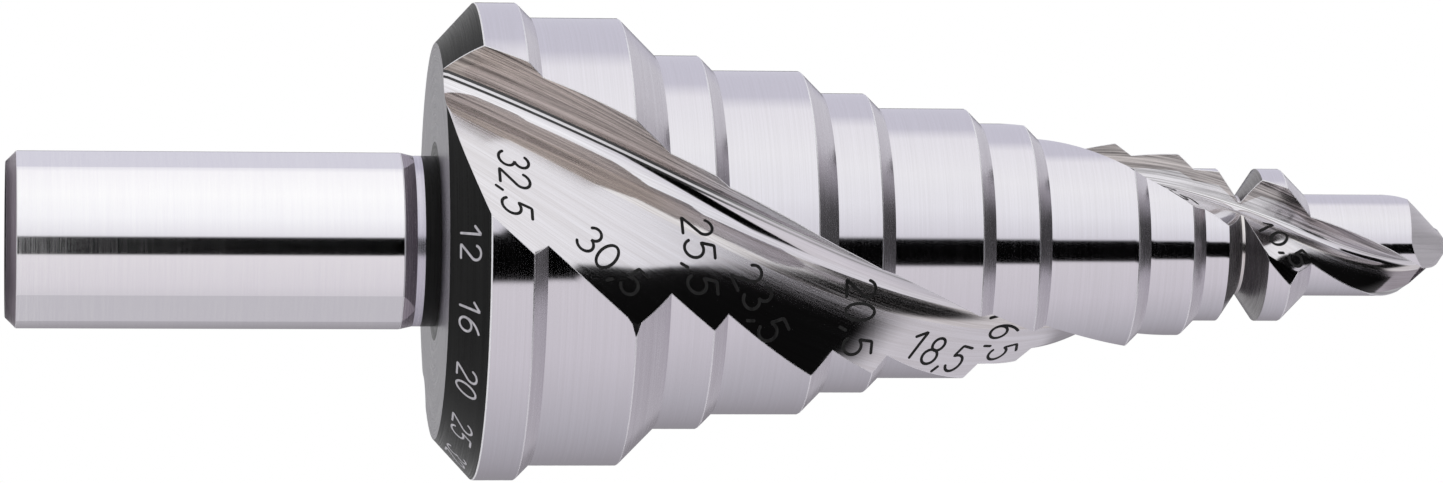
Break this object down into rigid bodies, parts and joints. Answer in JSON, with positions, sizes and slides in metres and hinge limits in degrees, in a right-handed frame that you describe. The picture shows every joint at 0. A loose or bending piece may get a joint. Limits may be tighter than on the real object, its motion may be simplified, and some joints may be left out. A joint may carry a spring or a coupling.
{
  "type": "step drill",
  "caption": "Conical step drill with spiral flutes, a grooved first step, a pilot point and a three-flat shank, for opening gland holes in sheet.",
  "frame": {"origin": "middle of the shank's flat end face", "axes": "+Z along the drill's axis, from the shank's end to the point"},
  "size_m": [0.0324, 0.0324, 0.0992],
  "materials": {
    "ground_steel": "ground bright high-speed steel with a dark back chamfer"
  },
  "bodies": {
    "root": {"step_drill": "ground_steel"}
  },
  "joints": []
}
